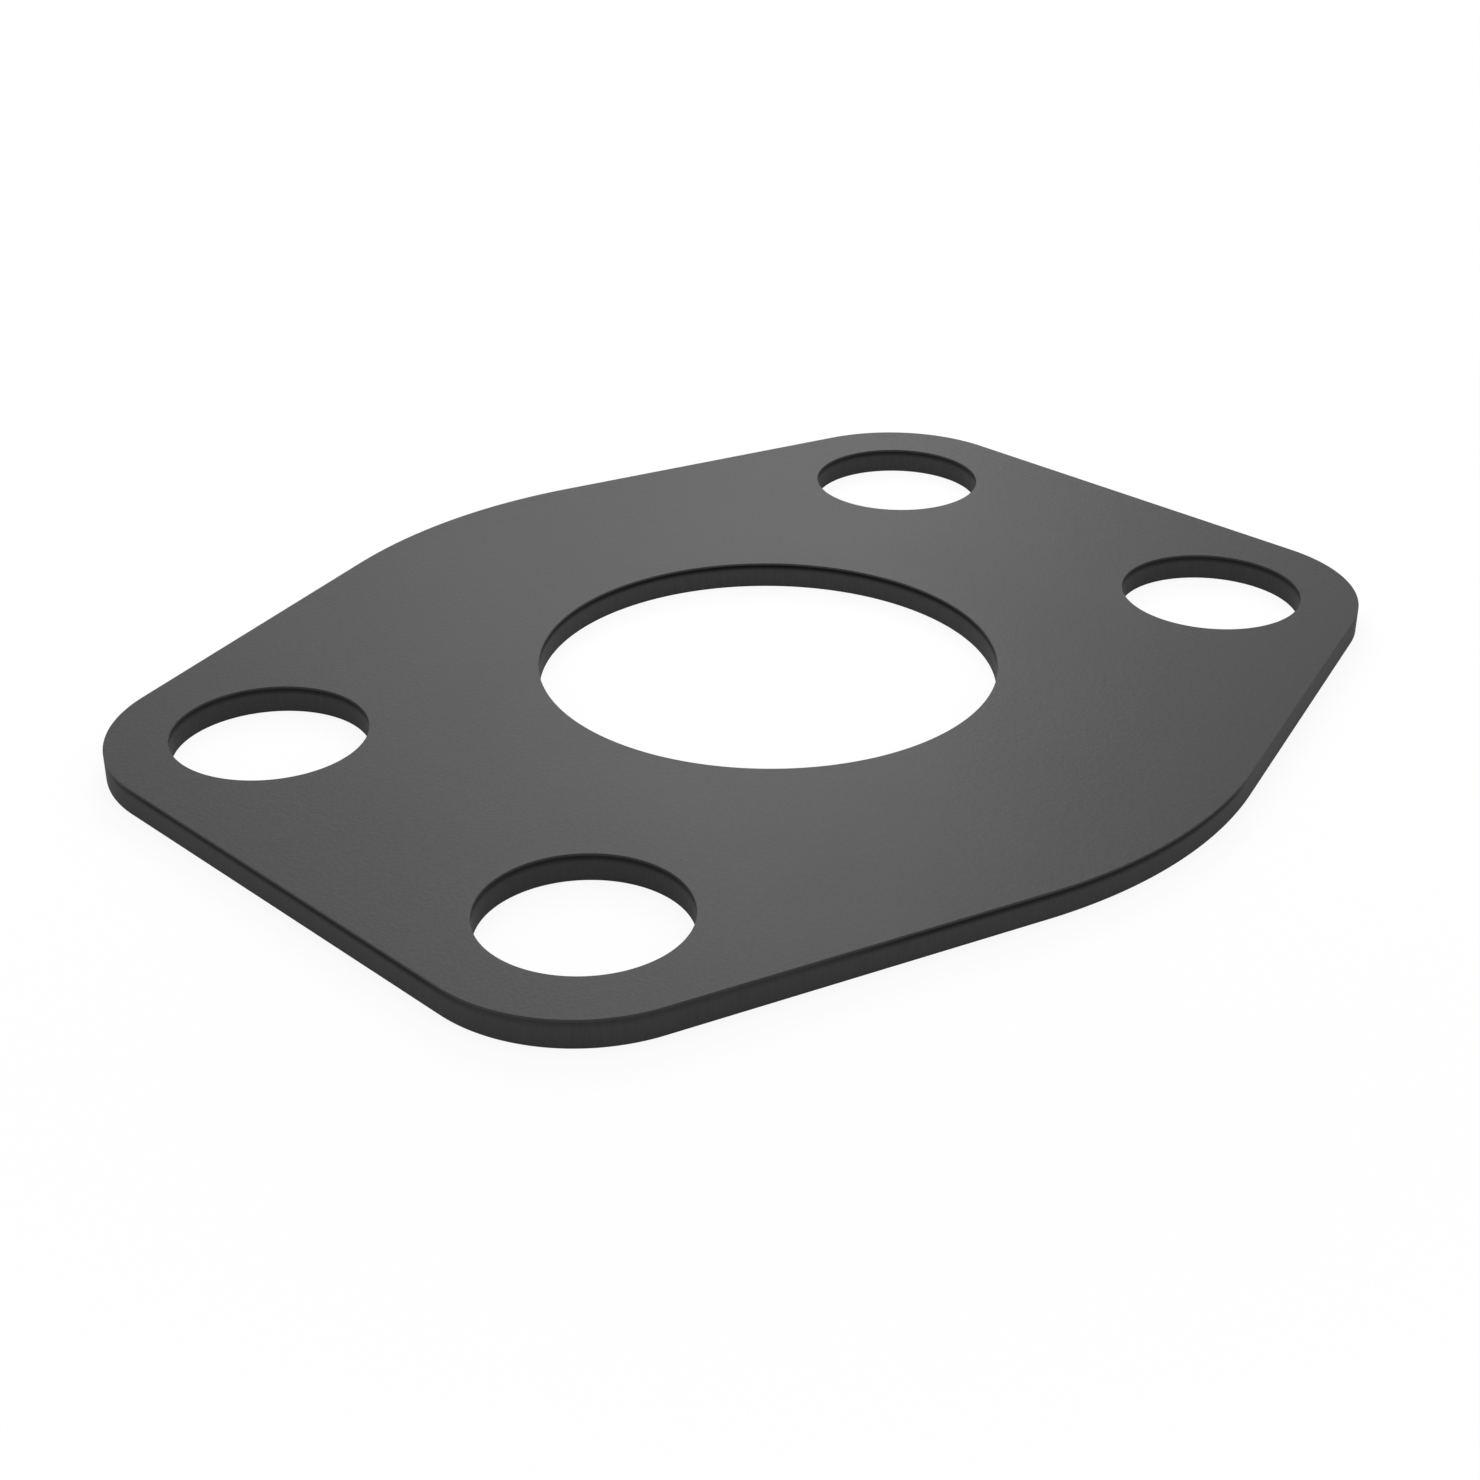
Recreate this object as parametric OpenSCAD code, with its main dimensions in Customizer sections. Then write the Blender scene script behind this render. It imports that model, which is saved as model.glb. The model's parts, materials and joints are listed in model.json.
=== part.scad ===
// Flat gasket for a four-bolt flange, die cut in one piece from sheet.
// It lies on its lower face with its length along X, and the port's axis is Z.

/* [Sheet] */
// Thickness of the sheet
sheet_t = 1.6; // [0.5:0.1:4]

/* [Port] */
// Diameter of the port hole in the middle
port_d = 27; // [18:0.5:34]

/* [Bolt holes] */
// Spacing of the bolt holes along the length
bolt_span_x = 52.4; // [46:0.1:60]
// Spacing of the bolt holes across the width
bolt_span_y = 26.2; // [24:0.1:34]
// Diameter of each bolt hole
bolt_hole_d = 11; // [6:0.1:14]

/* [Outline] */
// Radius of the corner round each bolt hole
corner_r = 9; // [8:0.1:12]
// Width across the round middle
middle_w = 58.7; // [50:0.1:66]

/* [Hidden] */
$fn = 180;

bolt = [bolt_span_x / 2, bolt_span_y / 2];
middle_r = middle_w / 2;

// Straight edges sit this far inside their tangents, so that each one cuts its two arcs at a clear point
tangent_inset = 0.0005;

// Square to the straight edge that leaves a corner's arc and runs on into the middle's arc
edge_angle = atan2(bolt.y, bolt.x) + acos((middle_r - corner_r) / norm(bolt));
edge_normal = [cos(edge_angle), sin(edge_angle)];

// Ends of the straight edges in the first quadrant: the end edge at the corner, then both ends of the long edge
quarter_points = [
    bolt + [corner_r - tangent_inset, 0],
    bolt + (corner_r - tangent_inset) * edge_normal,
    (middle_r - tangent_inset) * edge_normal,
];

// The four quadrants in turn, each run the other way from the one before, so that the points go round once
quadrants = [[1, 1], [-1, 1], [-1, -1], [1, -1]];
last_point = len(quarter_points) - 1;
outline_points = [
    for (q = [0 : len(quadrants) - 1], i = [0 : last_point])
        let (p = quarter_points[q % 2 == 0 ? i : last_point - i])
            [p.x * quadrants[q].x, p.y * quadrants[q].y]
];

// Places its child at every bolt hole
module at_bolts() {
    for (q = quadrants)
        translate([bolt.x * q.x, bolt.y * q.y])
            children();
}

// Outer edge of the sheet: round corners and a round middle, joined by straight edges
module outline() {
    polygon(outline_points);
    circle(r = middle_r);
    at_bolts()
        circle(r = corner_r);
}

module gasket() {
    color("dimgray")
        linear_extrude(sheet_t)
            difference() {
                outline();
                circle(d = port_d);
                at_bolts()
                    circle(d = bolt_hole_d);
            }
}

gasket();
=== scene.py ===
import json
import math

import bpy
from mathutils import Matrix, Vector
from mathutils.geometry import delaunay_2d_cdt


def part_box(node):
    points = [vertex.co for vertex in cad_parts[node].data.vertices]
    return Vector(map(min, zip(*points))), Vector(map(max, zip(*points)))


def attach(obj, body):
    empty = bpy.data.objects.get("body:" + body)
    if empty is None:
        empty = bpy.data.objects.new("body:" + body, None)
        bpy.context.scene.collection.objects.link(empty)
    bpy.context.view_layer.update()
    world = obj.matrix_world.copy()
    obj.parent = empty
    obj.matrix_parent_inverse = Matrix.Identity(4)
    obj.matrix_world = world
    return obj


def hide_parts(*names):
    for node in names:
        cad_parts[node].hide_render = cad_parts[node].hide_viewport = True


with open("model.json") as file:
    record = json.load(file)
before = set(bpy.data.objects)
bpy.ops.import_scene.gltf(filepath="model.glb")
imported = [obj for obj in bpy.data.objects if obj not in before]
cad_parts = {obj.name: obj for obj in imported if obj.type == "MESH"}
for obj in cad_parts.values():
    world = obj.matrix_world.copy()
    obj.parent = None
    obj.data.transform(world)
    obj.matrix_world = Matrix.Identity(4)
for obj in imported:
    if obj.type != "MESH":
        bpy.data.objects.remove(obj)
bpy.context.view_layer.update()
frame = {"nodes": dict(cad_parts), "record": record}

mm = 0.001
low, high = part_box("gasket")
scene = bpy.context.scene
scene.view_settings.view_transform = "Standard"
print("frame loaded:", sorted(frame["nodes"]))


# one socket of a shader: arithmetic on it adds Math nodes, make() adds any other node
class Shade:
    def __init__(self, tree, socket=None):
        self.tree = tree
        self.socket = socket

    # settings are set first, then each socket gets a value or a link
    def make(self, kind, settings=None, sockets=None, out=0):
        node = self.tree.nodes.new(kind)
        for name, value in (settings or {}).items():
            setattr(node, name, value)
        for key, value in (sockets or {}).items():
            if isinstance(value, Shade):
                self.tree.links.new(value.socket, node.inputs[key])
            else:
                node.inputs[key].default_value = value
        return Shade(self.tree, node.outputs[out] if node.outputs else None)

    def math(self, operation, first, second):
        return self.make("ShaderNodeMath", {"operation": operation}, {0: first, 1: second})

    def __add__(self, other):
        return self.math("ADD", self, other)

    def __radd__(self, other):
        return self.math("ADD", other, self)

    def __sub__(self, other):
        return self.math("SUBTRACT", self, other)

    def __rsub__(self, other):
        return self.math("SUBTRACT", other, self)

    def __mul__(self, other):
        return self.math("MULTIPLY", self, other)

    def __rmul__(self, other):
        return self.math("MULTIPLY", other, self)


def emptyTree(owner):
    owner.use_nodes = True
    owner.node_tree.nodes.clear()
    return Shade(owner.node_tree)


def grey(level):
    return (level, level, level, 1.0)


# mixes two colours, each of them a level of grey or a shade
def blend(shade, factor, first, second):
    colours = [colour if isinstance(colour, Shade) else grey(colour) for colour in (first, second)]
    sockets = {0: factor, 6: colours[0], 7: colours[1]}  # 6 and 7 take colours, and output 2 gives one
    return shade.make("ShaderNodeMix", {"data_type": "RGBA"}, sockets, 2)


noise = {"mean": 0.5, "roughness": 0.55}


# soft noise of about one value per size, stretched along z by tall
def cloud(shade, place, size, detail, tall=1.0):
    scale = (1 / size, 1 / size, 1 / (size * tall))
    stretched = shade.make("ShaderNodeVectorMath", {"operation": "MULTIPLY"}, {0: place, 1: scale})
    sockets = {"Vector": stretched, "Scale": 1.0, "Detail": detail, "Roughness": noise["roughness"]}
    return shade.make("ShaderNodeTexNoise", sockets=sockets)


# how far a noise is above or below its mean
def swing(value):
    return value - noise["mean"]


# 0 up to start, 1 from end on, and smooth between them
def ramp(shade, value, start, end):
    sockets = {"Value": value, "From Min": start, "From Max": end}
    return shade.make("ShaderNodeMapRange", {"interpolation_type": "SMOOTHSTEP"}, sockets)


# how far a vector reaches along a direction
def along(shade, vector, way):
    return shade.make("ShaderNodeVectorMath", {"operation": "DOT_PRODUCT"}, {0: vector, 1: way}, "Value")


# direction of a bearing round z and a height above the floor, both in degrees
def bearing(azimuth, elevation):
    turn, lift = math.radians(azimuth), math.radians(elevation)
    return Vector((math.cos(turn) * math.cos(lift), math.sin(turn) * math.cos(lift), math.sin(lift)))


# the dark and the light grey of a finish
def greys(finish):
    return [finish["grey"] * (1 + side * finish["greySwing"]) for side in (-1, 1)]


# surface of a finish: sheen is the noise that varies its roughness, and height the one that raises it
def addSurface(shade, finish, colour, sheen, height):
    bump = shade.make("ShaderNodeBump", sockets={
        "Height": height,
        "Strength": 1.0,
        "Distance": finish["bumpHeight"],
    })
    surface = shade.make("ShaderNodeBsdfPrincipled", sockets={
        "Base Color": colour,
        "Roughness": finish["roughness"] + swing(sheen) * finish["roughnessSwing"],
        "Specular IOR Level": finish["specular"],
        "Normal": bump,
    })
    shade.make("ShaderNodeOutputMaterial", sockets={"Surface": surface})


# rolled face of the sheet: charcoal rubber, faintly clouded, with a fine even grain
faceFinish = {
    "grey": 0.05,
    "greySwing": 0.03,
    "cloudSize": 11 * mm,
    "cloudDetail": 3.0,
    "cloudWeight": 2.0,
    "grainSize": 0.22 * mm,
    "grainDetail": 4.0,
    "grainWeight": 6.7,
    "roughness": 0.45,
    "roughnessSwing": 0.06,
    "specular": 0.06,
    "bumpHeight": 0.014 * mm,
}


def rubberFace():
    finish = faceFinish
    material = bpy.data.materials.new("rubberFace")
    shade = emptyTree(material)
    place = shade.make("ShaderNodeTexCoord", out="Object")
    clouds = cloud(shade, place, finish["cloudSize"], finish["cloudDetail"])
    grain = cloud(shade, place, finish["grainSize"], finish["grainDetail"])
    tone = noise["mean"] + swing(clouds) * finish["cloudWeight"] + swing(grain) * finish["grainWeight"]
    addSurface(shade, finish, blend(shade, tone, *greys(finish)), clouds, grain)
    return material


# cut walls of the sheet: fine upright marks of the knife, and painted shade: a dark line painted under
# the upper rim
wallFinishAndShade = {
    "grey": 0.048,
    "greySwing": 0.16,
    "markSize": 0.16 * mm,
    "markTall": 9.0,
    "markDetail": 2.0,
    # how dark the painted shade line under the upper rim is on each kind of wall
    "paintedShadeGrey": {"outline": 0.008, "port": 0.003, "bolts": 0.013},
    "paintedShadeTop": (0.06 * mm, 0.18 * mm),  # depths between which the line comes in
    "lineFoot": (0.2 * mm, 0.55 * mm),  # and those between which it goes out
    # which way the walls that carry the painted shade line face, and how it fades towards the corners
    "paintedShadeBearing": 45,
    "paintedShadeTurn": (62, 55),  # degrees off the bearing at which the line is gone, and is full
    "paintedShadeCornerReach": (0.36, 0.54),  # where the corner's fade starts, and is full
    "paintedShadeCornerFade": 0.65,
    "roughness": 0.7,
    "roughnessSwing": 0.1,
    "specular": 0.075,
    "bumpHeight": 0.012 * mm,
}


# painted shade: round the outline the dark line is on walls that face along its bearing, forward or
# back; it is gone on those that turn further from it than the line's turn, and faint towards the
# corners, where x times y is large
def paintedShadeShare(shade, place):
    finish = wallFinishAndShade
    normal = shade.make("ShaderNodeTexCoord", out="Normal")
    facing = along(shade, normal, bearing(finish["paintedShadeBearing"], 0))
    corner = along(shade, place, (1 / high.x, 0, 0)) * along(shade, place, (0, 1 / high.y, 0))
    turnEnds = [math.cos(math.radians(angle)) ** 2 for angle in finish["paintedShadeTurn"]]
    cornerEnds = [reach ** 2 for reach in finish["paintedShadeCornerReach"]]
    turned = ramp(shade, facing * facing, *turnEnds)
    faint = ramp(shade, corner * corner, *cornerEnds)
    return turned * (1 - finish["paintedShadeCornerFade"] * faint)


def cutWall(name):
    finish = wallFinishAndShade
    material = bpy.data.materials.new(name + "Wall")
    shade = emptyTree(material)
    place = shade.make("ShaderNodeTexCoord", out="Object")
    depth = high.z - along(shade, place, (0, 0, 1))
    # painted shade: a dark band just under the upper rim, by depth below the top face
    line = ramp(shade, depth, *finish["paintedShadeTop"]) * (1 - ramp(shade, depth, *finish["lineFoot"]))
    if name == "outline":
        line = line * paintedShadeShare(shade, place)
    marks = cloud(shade, place, finish["markSize"], finish["markDetail"], finish["markTall"])
    # the wall's colour is darkened by the painted shade band
    colour = blend(shade, line, blend(shade, marks, *greys(finish)), finish["paintedShadeGrey"][name])
    addSurface(shade, finish, colour, marks, marks)
    return material


# the sheet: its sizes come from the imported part, and its rims are slightly rounded
mounts = {mount["name"]: mount["dims"] for mount in frame["record"]["mounts"]}
sheet = {
    "portRadius": mounts["port_bore"]["r_mm"] * mm,
    "boltRadius": mounts["flange_bolts"]["hole_r_mm"] * mm,
    "boltX": mounts["flange_bolts"]["spacing_x_mm"] * mm / 2,
    "boltY": mounts["flange_bolts"]["spacing_y_mm"] * mm / 2,
    "rimInset": 0.015 * mm,
    "rimDrop": 0.04 * mm,
    "rimSteps": 6,
    "wallSteps": 4,
    "arcStep": 0.25 * mm,
    "straightStep": 0.5 * mm,
    "faceStep": 1.8 * mm,
    "edgeClear": 1.1 * mm,
}
finishSlots = {name: slot for slot, name in enumerate(["face", *wallFinishAndShade["paintedShadeGrey"]])}


# points along an arc, each with the direction that faces out of the sheet
def arcPoints(x, y, radius, startAngle, endAngle, facing=1):
    steps = max(1, round(abs(endAngle - startAngle) * radius / sheet["arcStep"]))
    points = []
    for i in range(steps + 1):
        angle = startAngle + (endAngle - startAngle) * i / steps
        way = Vector((math.cos(angle), math.sin(angle)))
        points.append((Vector((x, y)) + way * radius, way * facing))
    return points


# fills the straight runs of a closed loop with evenly spaced points
def spreadPoints(loop):
    spread = []
    for i in range(len(loop)):
        here, way = loop[i]
        there = loop[(i + 1) % len(loop)][0]
        steps = max(1, round((there - here).length / sheet["straightStep"]))
        for step in range(steps):
            spread.append((here.lerp(there, step / steps), way))
    return spread


# two corners and the bow of one long side, then the same turned half round
def outerLoop():
    x, y = sheet["boltX"], sheet["boltY"]
    cornerRadius = high.x - x
    middleRadius = high.y
    # the angle at which a straight edge touches both of its arcs
    turn = math.atan2(y, x) + math.acos((middleRadius - cornerRadius) / math.hypot(x, y))
    loop = arcPoints(x, y, cornerRadius, 0, turn)
    loop += arcPoints(0, 0, middleRadius, turn, math.pi - turn)
    loop += arcPoints(-x, y, cornerRadius, math.pi - turn, math.pi)
    loop += [(-point, -way) for point, way in loop]
    return spreadPoints(loop)


# runs the other way round than the outline, and leaves out the last point, which is the first again
def holeLoop(x, y, radius):
    return arcPoints(x, y, radius, 2 * math.pi, 0, -1)[:-1]


# rows down the wall: inset from the outline, height, and the way the surface faces, outward and up
def rimRows():
    steps, inset, drop = sheet["rimSteps"], sheet["rimInset"], sheet["rimDrop"]
    rims = []
    for edge, up in ((high.z, 1), (low.z, -1)):
        rim = []
        for i in range(steps + 1):
            turn = math.pi / 2 * i / steps  # from flat on the face to upright on the wall
            height = edge - up * drop * (1 - math.cos(turn))
            slope = Vector((math.sin(turn) / inset, up * math.cos(turn) / drop))
            rim.append((inset * (1 - math.sin(turn)), height, slope.normalized()))
        rims.append(rim)
    upper, lower = rims
    top, foot = high.z - drop, low.z + drop
    wall = []
    for i in range(1, sheet["wallSteps"]):
        wall.append((0.0, top + (foot - top) * i / sheet["wallSteps"], Vector((1, 0))))
    return upper + wall + lower[::-1]


# whether a point is in a hole or nearer than reach to its edge
def inHole(point, holes, reach):
    return any((point - Vector((x, y))).length < radius + reach for x, y, radius in holes)


# points over the face in rows of even triangles, clear of every edge
def facePoints(outline, holes):
    step, clear = sheet["faceStep"], sheet["edgeClear"]
    rowHeight = step * math.sqrt(3) / 2
    rows, columns = int(high.y / rowHeight), int(high.x / step)
    points = []
    for row in range(-rows, rows + 1):
        shift = row % 2 / 2  # every other row moves along by half a step
        for column in range(-columns, columns + 1):
            point = Vector(((column + shift) * step, row * rowHeight))
            inside = all((point - edge).dot(way) < -clear for edge, way in outline)
            if inside and not inHole(point, holes, clear):
                points.append(point)
    return points


# carries one loop down through the rows, and returns the number of its first point
def addWall(net, loop, rows, slot):
    start, count, last = len(net["points"]), len(loop), len(rows) - 1
    for inset, height, slope in rows:
        for place, way in loop:
            rim = place - way * inset
            net["points"].append((rim.x, rim.y, height))
            net["normals"].append((way.x * slope.x, way.y * slope.x, slope.y))
    for row in range(last):
        upright = sheet["rimSteps"] <= row < last - sheet["rimSteps"]
        upper = start + row * count
        lower = upper + count
        for i in range(count):
            after = (i + 1) % count
            net["faces"].append((upper + i, lower + i, lower + after, upper + after))
            net["slots"].append(slot if upright else finishSlots["face"])
    return start


# lays one net of triangles between the rims, in millimetres, and turns it over for the lower face
def addFaces(net, loops, starts, rows, holes):
    flat, edges, upperIndex, lowerIndex = [], [], [], []
    for loop, start in zip(loops, starts):
        first, count = len(flat), len(loop)
        for i, (place, way) in enumerate(loop):
            flat.append((place - way * sheet["rimInset"]) / mm)
            edges.append((first + i, first + (i + 1) % count))
            upperIndex.append(start + i)
            lowerIndex.append(start + (len(rows) - 1) * count + i)
    inner = facePoints(loops[0], holes)
    flat += [place / mm for place in inner]
    for height, index, up in ((high.z, upperIndex, 1), (low.z, lowerIndex, -1)):
        for place in inner:
            index.append(len(net["points"]))
            net["points"].append((place.x, place.y, height))
            net["normals"].append((0, 0, up))
    insideEdges, mergeGap = 1, 1e-6
    flatNet = delaunay_2d_cdt(flat, edges, [], insideEdges, mergeGap)
    corners, triangles, sources = flatNet[0], flatNet[2], flatNet[3]
    for triangle in triangles:
        middle = sum((corners[c] for c in triangle), Vector((0, 0))) / len(triangle) * mm
        if inHole(middle, holes, sheet["rimInset"]):
            continue
        ids = [sources[c][0] for c in triangle]
        net["faces"].append([upperIndex[i] for i in ids])
        net["faces"].append([lowerIndex[i] for i in reversed(ids)])
        net["slots"] += [finishSlots["face"]] * 2


def buildSheet():
    centres = [(x * sheet["boltX"], y * sheet["boltY"]) for x in (-1, 1) for y in (-1, 1)]
    holes = [(0.0, 0.0, sheet["portRadius"])] + [(x, y, sheet["boltRadius"]) for x, y in centres]
    loops = [outerLoop()] + [holeLoop(*hole) for hole in holes]
    walls = ["outline", "port"] + ["bolts"] * len(centres)
    rows = rimRows()
    net = {"points": [], "normals": [], "faces": [], "slots": []}
    starts = [addWall(net, loop, rows, finishSlots[wall]) for loop, wall in zip(loops, walls)]
    addFaces(net, loops, starts, rows, holes)
    mesh = bpy.data.meshes.new("gasketSheet")
    mesh.from_pydata(net["points"], [], net["faces"])
    mesh.polygons.foreach_set("material_index", net["slots"])
    mesh.polygons.foreach_set("use_smooth", [True] * len(net["faces"]))
    for name in finishSlots:
        mesh.materials.append(rubberFace() if name == "face" else cutWall(name))
    mesh.normals_split_custom_set_from_vertices(net["normals"])
    mesh.validate()
    piece = bpy.data.objects.new("gasketSheet", mesh)
    scene.collection.objects.link(piece)
    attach(piece, "root")
    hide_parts("gasket")
    print("sheet built:", len(net["points"]), "points,", len(net["faces"]), "faces")


buildSheet()


# white to the eye and in reflections, an ordinary pale floor to the light that bounces off it;
# near the sheet it still takes the shadow, and further out it clears to plain white
floor = {
    "size": 4000 * mm,
    "gap": 0.02 * mm,
    "pale": 0.95,
    "whiteShare": 0.9,
    "shadowReach": (36 * mm, 80 * mm),
}


def seenRays(shade):
    kinds = ("Is Camera Ray", "Is Glossy Ray", "Is Transmission Ray")
    camera, mirrored, through = [shade.make("ShaderNodeLightPath", out=kind) for kind in kinds]
    return camera + mirrored + through


def buildFloor():
    half, height = floor["size"] / 2, low.z - floor["gap"]
    sides = ((-1, -1), (1, -1), (1, 1), (-1, 1))
    mesh = bpy.data.meshes.new("floor")
    mesh.from_pydata([(x * half, y * half, height) for x, y in sides], [], [(0, 1, 2, 3)])
    material = bpy.data.materials.new("paleFloor")
    shade = emptyTree(material)
    lit = shade.make("ShaderNodeBsdfDiffuse", sockets={"Color": grey(floor["pale"])})
    white = shade.make("ShaderNodeEmission", sockets={"Color": grey(1.0), "Strength": 1.0})
    place = shade.make("ShaderNodeTexCoord", out="Object")
    away = shade.make("ShaderNodeVectorMath", {"operation": "LENGTH"}, {0: place}, "Value")
    clear = ramp(shade, away, *floor["shadowReach"])
    share = seenRays(shade) * (floor["whiteShare"] + (1 - floor["whiteShare"]) * clear)
    surface = shade.make("ShaderNodeMixShader", sockets={0: share, 1: lit, 2: white})
    shade.make("ShaderNodeOutputMaterial", sockets={"Surface": surface})
    mesh.materials.append(material)
    ground = bpy.data.objects.new("floor", mesh)
    scene.collection.objects.link(ground)
    print("floor laid at", round(height, 6))


buildFloor()


# even room light, with plain white behind everything
room = {"ambient": 0.62, "white": 1.0}


def buildRoom():
    world = bpy.data.worlds.new("room")
    scene.world = world
    shade = emptyTree(world)
    ambient = shade.make("ShaderNodeBackground", sockets={
        "Color": grey(1.0),
        "Strength": room["ambient"],
    })
    white = shade.make("ShaderNodeBackground", sockets={
        "Color": grey(1.0),
        "Strength": room["white"],
    })
    surface = shade.make("ShaderNodeMixShader", sockets={0: seenRays(shade), 1: ambient, 2: white})
    shade.make("ShaderNodeOutputWorld", sockets={"Surface": surface})
    print("room light at", room["ambient"])


buildRoom()


# soft boxes round the sheet: where each hangs and its width and height, in metres, and how bright it is
lamps = {
    "backRight": {"azimuth": 40, "elevation": 29, "distance": 0.5, "size": (0.09, 0.08), "glow": 9.8},
    "backLeft": {"azimuth": 60, "elevation": 29, "distance": 0.5, "size": (0.09, 0.08), "glow": 5.45},
    "keyBox": {"azimuth": 47, "elevation": 40, "distance": 0.22, "size": (0.08, 0.08), "glow": 8.6},
    "topBox": {"azimuth": 45, "elevation": 80, "distance": 0.2, "size": (0.1, 0.1), "glow": 2.5},
}


def hangLamps():
    for name, lamp in lamps.items():
        data = bpy.data.lights.new(name, "AREA")
        data.shape = "RECTANGLE"
        data.size, data.size_y = lamp["size"]
        data.energy = lamp["glow"] * math.pi * data.size * data.size_y
        box = bpy.data.objects.new(name, data)
        way = bearing(lamp["azimuth"], lamp["elevation"])
        box.location = way * lamp["distance"]
        box.rotation_euler = way.to_track_quat("Z", "Y").to_euler()
        box.visible_camera = False
        scene.collection.objects.link(box)
    print("lamps hung:", ", ".join(lamps))


hangLamps()


# the photograph's view: what it aims at, from where, and its lens on a full-frame sensor
view = {
    "aim": (-7.39 * mm, -5.04 * mm, 0.8 * mm),
    "azimuth": 224.94,
    "elevation": 28.45,
    "distance": 130.37 * mm,
    "lens": 56.78,
    "sensor": 36.0,
    "nearClip": 10 * mm,
}


def placeCamera():
    data = bpy.data.cameras.new("camera")
    data.lens = view["lens"]
    data.sensor_width = view["sensor"]
    data.clip_start = view["nearClip"]
    camera = bpy.data.objects.new("camera", data)
    back = bearing(view["azimuth"], view["elevation"])
    camera.location = Vector(view["aim"]) + back * view["distance"]
    camera.rotation_euler = back.to_track_quat("Z", "Y").to_euler()
    scene.collection.objects.link(camera)
    scene.camera = camera
    print("camera at", tuple(round(v, 4) for v in camera.location))


placeCamera()
